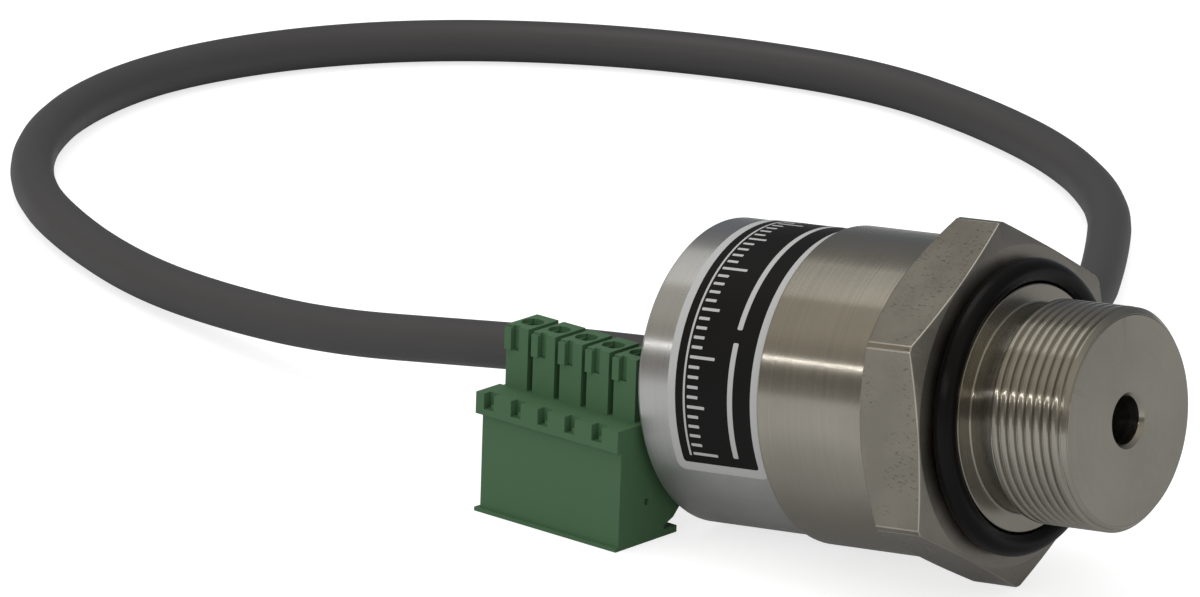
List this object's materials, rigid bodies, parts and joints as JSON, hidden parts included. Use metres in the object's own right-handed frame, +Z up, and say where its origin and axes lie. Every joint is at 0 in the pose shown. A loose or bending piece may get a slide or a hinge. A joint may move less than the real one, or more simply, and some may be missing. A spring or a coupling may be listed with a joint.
{
  "type": "vacuum sensor",
  "caption": "Screw-in stainless vacuum sensor with a hexagon, a sealing ring and a fixed cable that ends in a green plug-in terminal plug.",
  "frame": {"origin": "on the table, under the middle of the sensor without its cable and plug, which lies tilted on a hexagon corner and its rear rim", "axes": "+X along the sensor towards its thread, level; +Z up; the plug lies on the -Y side"},
  "size_m": [0.1887, 0.151, 0.0369],
  "materials": {
    "steel": "turned and finely brushed stainless steel",
    "steel_inner": "fine turned stainless steel",
    "spring_steel": "dark spring steel",
    "nickel": "nickel plated brass",
    "seal": "black rubber, slightly glossy",
    "ceramic": "white ceramic, unglazed",
    "glass": "sealing glass",
    "silicon": "polished silicon",
    "gold": "gold plated",
    "board": "green solder mask on glass fibre",
    "chip": "black moulding",
    "capacitor": "tan ceramic",
    "trim": "blue moulding",
    "white_plastic": "off-white moulding",
    "carrier": "black moulding",
    "label": "black printed film with a light grey border",
    "plug_green": "green moulding, satin",
    "tin": "tin plated",
    "jacket": "dark grey cable jacket, satin",
    "red": "red wire insulation",
    "green": "green wire insulation",
    "white": "white wire insulation",
    "black": "black wire insulation",
    "brown": "brown wire insulation"
  },
  "bodies": {
    "root": {"fitting": "steel", "sealing_ring": "seal", "rear_housing": "steel", "label": "label", "rear_cover": "steel_inner", "cover_circlip": "spring_steel", "gland_bush": "seal", "gland_nut": "nickel", "cable_crimp": "nickel", "cell_header": "steel_inner", "isolating_diaphragm": "steel_inner", "ceramic_spacer": "ceramic", "glass_pedestal": "glass", "sensing_die": "silicon", "header_pins": "gold", "pin_glass_seals": "glass", "fill_ball": "steel_inner", "cell_seal": "seal", "cell_clamp_ring": "steel_inner", "cell_board": "board", "amplifier_board": "board", "board_carrier": "carrier", "board_link_pins": "gold", "amplifier_chips": "chip", "board_capacitors": "capacitor", "trim_resistors": "trim", "board_terminal": "white_plastic", "cable_jacket": "jacket", "wire_red": "red", "wire_green": "green", "wire_white": "white", "wire_black": "black", "wire_brown": "brown", "plug_housing": "plug_green", "clamp_cages": "tin", "clamp_screws": "tin", "plug_contacts": "gold", "wire_ferrules": "tin"}
  },
  "joints": []
}
